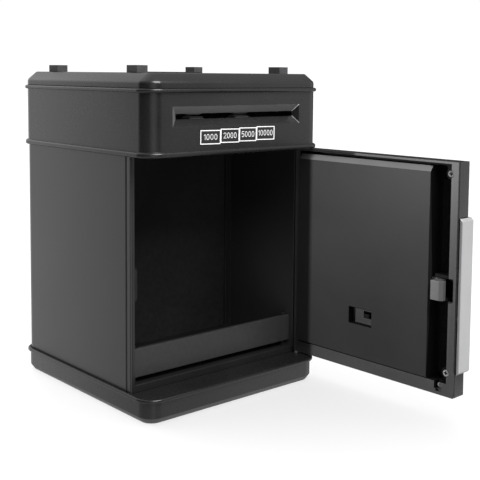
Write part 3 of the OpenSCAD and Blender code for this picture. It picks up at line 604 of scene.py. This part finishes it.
# thin moulded ridges down the right corners of the note slot, from its mouth to its throat; their pale grey
# is a painted highlight
bm = bmesh.new()
for z0, z1 in ((169.3, 165.2), (158.4, 162.3)):
    a, b = Vector((45.4, -67.5, z0)), Vector((43.2, -63.6, z1))
    out = Vector((-0.43, -0.6, -0.35 if z0 > z1 else 0.35)).normalized()
    side = (b - a).cross(out).normalized() * 0.3
    ring = [[bm.verts.new((p + q) * MM) for q in (-side, side, out * 0.4)] for p in (a, b)]
    for i in range(3):
        bm.faces.new((ring[0][i], ring[0][(i + 1) % 3], ring[1][(i + 1) % 3], ring[1][i]))
    bm.faces.new(ring[0])
    bm.faces.new(ring[1])
bmesh.ops.recalc_face_normals(bm, faces=bm.faces)
place(soften(to_object(bm, "slot_ridges"), 0), "housing", "black_shell", mats=[painted_highlight_grey])

# the room inside the box, between two corners
BODY_ROOM = ((-59.6, -50.1, 17.5), (59.6, 64.6, TOP))
JAMB_X, JAMB_Y = -50, -45  # the left post's front face is beyond both


def body_tone(c, n):
    """1 for the inner walls, painted shade; 2 for the right one, with light painted on toward its bottom; 3
    for the left post's front, painted light.
    """
    if inside(c, *BODY_ROOM):
        return 2 if n.x < -0.9 and c.x > 40 else 1
    return 3 if n.y < -0.9 and c.x < JAMB_X and c.y < JAMB_Y else 0


body = soften(to_object(solid_of("body_shell"), "v_body_shell"), 0.28, 2)
paint(body, body_tone)
place(body, "housing", "black_body", "body_shell",
      mats=[FINISH["black_body"], painted_shade_black, painted_light_wall, painted_light_black])

# ------------------------------------------------------------------ value plates
PLATES = ((-28.6, -14.6, 148.6, "1000", 9.0),  # left and right end, lower edge, numeral, its width
          (-14.5, -1.2, 148.95, "2000", 9.0),
          (-1.1, 11.6, 149.2, "5000", 9.0),
          (11.7, 25.5, 149.5, "10000", 10.6))
PLATE_Y, PLATE_HIGH = -67.85, 7.75
for k, (x0, x1, z0, text, wide) in enumerate(PLATES, 1):
    spin = Matrix.Translation((x0 * MM, PLATE_Y * MM, z0 * MM)) @ Matrix.Rotation(math.radians(1), 4, "Y")
    w, h = x1 - x0, PLATE_HIGH
    left, side, top = 0.55, 0.4 if k < 4 else 0.6, 0.5  # widths of the white frame
    bm = bmesh.new()
    block(bm, (0, 0.03, 0), (w, 0.34, h))
    bm.transform(spin)
    plate = soften(to_object(bm, f"v_value_plate_{k}"), 0.08, 2)
    place(plate, "housing", "value_black", f"value_plate_{k}")
    bm = bmesh.new()
    outer = [(0, 0), (w, 0), (w, h), (0, h)]
    inner = [(left, top), (w - side, top), (w - side, h - top), (left, h - top)]
    rows = [[bm.verts.new((x * MM, y * MM, z * MM)) for x, z in loop]
            for y in (0, 0.05) for loop in (outer, inner)]
    for i in range(4):
        j = (i + 1) % 4
        for a, b in ((0, 1), (1, 3), (3, 2), (2, 0)):
            bm.faces.new((rows[a][i], rows[a][j], rows[b][j], rows[b][i]))
    bmesh.ops.recalc_face_normals(bm, faces=bm.faces)
    bm.transform(spin)
    place(soften(to_object(bm, f"value_frame_{k}"), 0), "housing", "value_black", mats=[ink])
    middle = Matrix.Translation(((left + w - side) / 2 * MM, 0.03 * MM, (h / 2 + 0.15) * MM))
    face = spin @ middle @ Matrix.Rotation(math.pi / 2, 4, "X")
    value = lettering(text, 2.9, wide, 0.024, face, f"value_text_{k}", 0.10)
    place(soften(value, 0), "housing", "value_black", mats=[ink])

# ------------------------------------------------------------------ the door
# places on it are those of the shut door, its inner side toward +Y
DOOR_ROOM = ((-55.9, -58.95, 19.0), (57.5, -51.1, 140.9))
CHANNEL_X, CHANNEL_Y = -40.7, -50.6  # the bolt channel is to the left of the one and below the other
SWITCH_POCKET = ((-2.25, -TOP, 42.2), (14.85, -49.9, 52.2))
POCKET_FLOOR_Y = -54.1  # just below the pocket's floor
PANEL_TOP = 130


def when_shut(c, n):
    """A face's centre and normal as they are with the door shut."""
    return off_door @ (c * MM) / MM, off_door.to_3x3() @ n


def shell_tone(c, n):
    """1 for the hollow behind the panel, painted shade; 2 for the rim round it, painted light."""
    p, q = when_shut(c, n)
    if inside(p, *DOOR_ROOM):
        return 1
    return 2 if q.y > 0.7 else 0


shell = soften(to_object(solid_of("door_shell"), "v_door_shell"), 0.15, 2)
paint(shell, shell_tone)
place(shell, "door", "black_shell", "door_shell", mats=[FINISH["black_shell"], painted_deep_shade, painted_light_rim])

panel = soften(to_object(solid_of("door_panel", flat=False), "v_door_panel"), 0.2, 3, 20)


def panel_tone(c, n):
    """1 for the bolt channel and what is in shade, both painted shade; 2 for the switch pocket's floor; 3 for
    the upper bevel, a painted highlight.
    """
    p, q = when_shut(c, n)
    if p.x < CHANNEL_X and p.y < CHANNEL_Y or q.y < -0.5:
        return 1
    if q.z > 0.3 and q.y > 0.3 and p.z > PANEL_TOP:
        return 3
    if inside(p, *SWITCH_POCKET):
        return 2 if q.y > 0.7 and p.y > POCKET_FLOOR_Y else 1
    return 0


paint(panel, panel_tone)
place(panel, "door", "dark_inner", "door_panel", mats=[panel_black, painted_deep_shade, pocket_grey, painted_highlight_bevel])

# two strips of near-black foam on the floor of the bolt channel, below and above the bolt, standing in for
# the channel's shade: painted shade
bm = bmesh.new()
for z0, z1 in ((24, 66), (80.6, 131.5)):
    block(bm, (-50.2, -58.78, z0), (-42.9, -58.0, z1))
strip = soften(to_object(bm, "channel_shade_strip", True), 0.2, 2)
place(strip, "door", "dark_inner", mats=[painted_shade_foam])

# numerals on the keys, each moving with its key
KEY_X, KEY_Y, KEY_Z = 2, -64.2, 96  # middle of the lowest row, on the keys' faces
KEY_STEP_X, KEY_STEP_Z = 15, 10
for i, text in enumerate("123456789*0#"):
    col, row = i % 3 - 1, 3 - i // 3
    key = Vector((KEY_X + col * KEY_STEP_X, KEY_Y, KEY_Z + row * KEY_STEP_Z))
    at = on_door @ Matrix.Translation(key * MM) @ Matrix.Rotation(math.pi / 2, 4, "X")
    num = lettering(text, 3.4, None, 0.06, at, f"key_mark_{i + 1}")
    place(soften(num, 0), f"key_cap_{i + 1}", "key_pale", mats=[ink_dark])

# the knob's pointer line
KNOB_X, KNOB_Z = -23.8, 79
bm = bmesh.new()
block(bm, (KNOB_X - 0.7, -76.12, KNOB_Z + 3.2), (KNOB_X + 0.7, -75.95, KNOB_Z + 9.2))
place(soften(to_object(bm, "knob_line", True), 0.05, 2), "knob_set", "knob_dark", mats=[ink])

# ------------------------------------------------------------------ every other CAD solid, finished
RIM_SCREW_X, RIM_SCREWS_Z = -51.9, (27.5, 135.2)


def in_recess(c, n):
    """The cross recess in the head of a rim screw, painted as shade."""
    p, _ = when_shut(c, n)
    across = min(math.hypot(p.x - RIM_SCREW_X, p.z - z) for z in RIM_SCREWS_Z)
    return int(-52.62 < p.y < -51.93 and across < 1.3)


done = {"lid", "base_tray", "head_shell", "body_shell", "door_shell", "door_panel"}
done |= {f"value_plate_{k}" for k in range(1, 5)}
special = {
    # painted shade: the partition and the strike plate, which sit in shade, get the darker black
    "partition": [painted_shade_black],
    "coin_board": [board_black],
    "door_board": [FINISH["board_green"], FINISH["chip_black"]],
    "door_screws": [FINISH["bright_screw"], painted_deep_shade],
    "strike_plate": [painted_shade_black],
}
widths = {"lid_pads": 0.16, "knob": 0.12, "crank": 0.08, "handle_trim": 0.35,
          "coin_board": 0.25, "strike_plate": 0.2}
keep_triangles = {"lid_pads", "knob", "crank"}  # their faces with holes don't survive merging
SWITCH_TOP = 60  # of the door board's node, only the switch's case is below this
for node in nodes:
    if node not in done:
        solid = to_object(solid_of(node, flat=node not in keep_triangles), "v_" + node)
        piece = soften(solid, widths.get(node, 0.18))
        if node == "door_board":
            paint(piece, lambda c, n: int(c.z < SWITCH_TOP))
        if node == "door_screws":
            paint(piece, in_recess)
        place(piece, node_body[node], slot_of[node], node, mats=special.get(node))

# ------------------------------------------------------------------ floor and light
bm = bmesh.new()
bmesh.ops.create_grid(bm, x_segments=8, y_segments=8, size=6)
floor = to_object(bm, "floor")
floor.location.z = -0.0002


def paper(n, pos):
    """The white ground."""
    cloud = n("TexNoise", None, Vector=pos, Scale=3, Detail=2).outputs["Fac"]
    color = n.mix(n.remap(cloud, 0, 1), (0.86, 0.86, 0.86), (0.88, 0.88, 0.88))
    return color, n.remap(cloud, 0.7, 0.75), None, 0, 0


floor.data.materials.append(material("paper", paper))
floor.visible_glossy = False  # the plastic mirrors the studio walls set below instead

world = bpy.data.worlds.new("studio")
bpy.context.scene.world = world
world.use_nodes = True
world.node_tree.nodes.clear()
n = Nodes(world.node_tree)
direction = n("TexCoord").outputs["Generated"]


def lobe(axis, lo, hi):
    """A soft patch of light about an axis, from nothing to full between two cosines."""
    along = Vector(axis).normalized()
    dot = n("VectorMath", {"operation": "DOT_PRODUCT"}, i0=direction, i1=along).outputs["Value"]
    return smooth_step(n, dot, lo, hi)


def add(a, b):
    return n("Math", {"operation": "ADD"}, i0=a, i1=b).outputs[0]


def times(a, k):
    return n("Math", {"operation": "MULTIPLY"}, i0=a, i1=k).outputs[0]


# what the plastic mirrors: strength, direction, and the cosines at which it starts and is full
lights = (
    (0.52, (0, 0, 1), 0.1, 1.0),  # pale ceiling
    (0.66, (0.0, 0.74, 0.66), 0.6, 0.98),  # bright wall behind and above
    (1.06, (-0.26, 0.96, 0.05), 0.80, 0.98),  # card at the back left
    (0.72, (0.88, -0.48, 0.0), 0.72, 0.98),  # card to the right
    (0.58, (-0.42, -0.90, 0.1), 0.85, 0.99),  # strip in front
    (0.5, (-0.45, -0.89, -0.34), 0.96, 0.998),  # low strip in front, for the base's front
    (0.57, (0, 0, -1), 0.0, 0.6),  # dim floor
)
soft = 0.0
for strength, axis, lo, hi in lights:
    soft = add(soft, times(lobe(axis, lo, hi), strength))
seen = n("LightPath").outputs["Is Camera Ray"]
both = n("Mix", {"data_type": "FLOAT"}, i0=seen, i2=soft, i3=1.05).outputs[0]
bg = n("Background", None, Color=(1, 1, 1, 1), Strength=both)
n("OutputWorld", None, Surface=bg.outputs[0])


def lamp(name, kind, at, aim, power, size=(0, 0), only=(), shade=None):
    """A soft area light, or a sun of size[0] radians.

    only names the pieces it lights, and shade those that block it; both mean all when empty.
    """
    data = bpy.data.lights.new(name, kind)
    data.energy = power
    if kind == "AREA":
        data.shape, data.size, data.size_y = "RECTANGLE", size[0], size[1]
    else:
        data.angle = size[0]
    obj = link(bpy.data.objects.new(name, data))
    obj.location = at
    obj.rotation_euler = (Vector(aim) - Vector(at)).to_track_quat("-Z", "Y").to_euler()
    obj.visible_camera = False
    for use, pieces in (("receiver_collection", only), ("blocker_collection", shade)):
        if pieces:
            group = bpy.data.collections.new(f"{name}_{use}")
            for piece in pieces:
                group.objects.link(bpy.data.objects[piece])
            setattr(obj.light_linking, use, group)
    return obj


pieces = [o.name for o in bpy.context.scene.objects if o.type == "MESH" and o != floor]
lamp("top", "AREA", (0.0, -0.5, 0.7), (0, 0, 0.15), 8.8, (0.5, 0.5), pieces)
# from the left, so that the box throws a narrow shade on the door's inner side
lamp("door_fill", "AREA", (-0.20, -0.031, 0.146), (0.06, -0.10, 0.17), 1.4, (0.004, 0.004),
     ("v_door_shell", "v_door_panel", "v_latch_bolt"))
lamp("floor_fill", "SUN", (0, 0, 2), (0, 0, 0), 2.5, (0, 0), ("floor",), ("floor",))

view = bpy.context.scene.view_settings
view.view_transform, view.look, view.exposure, view.gamma = "Standard", "None", 0.0, 1.0
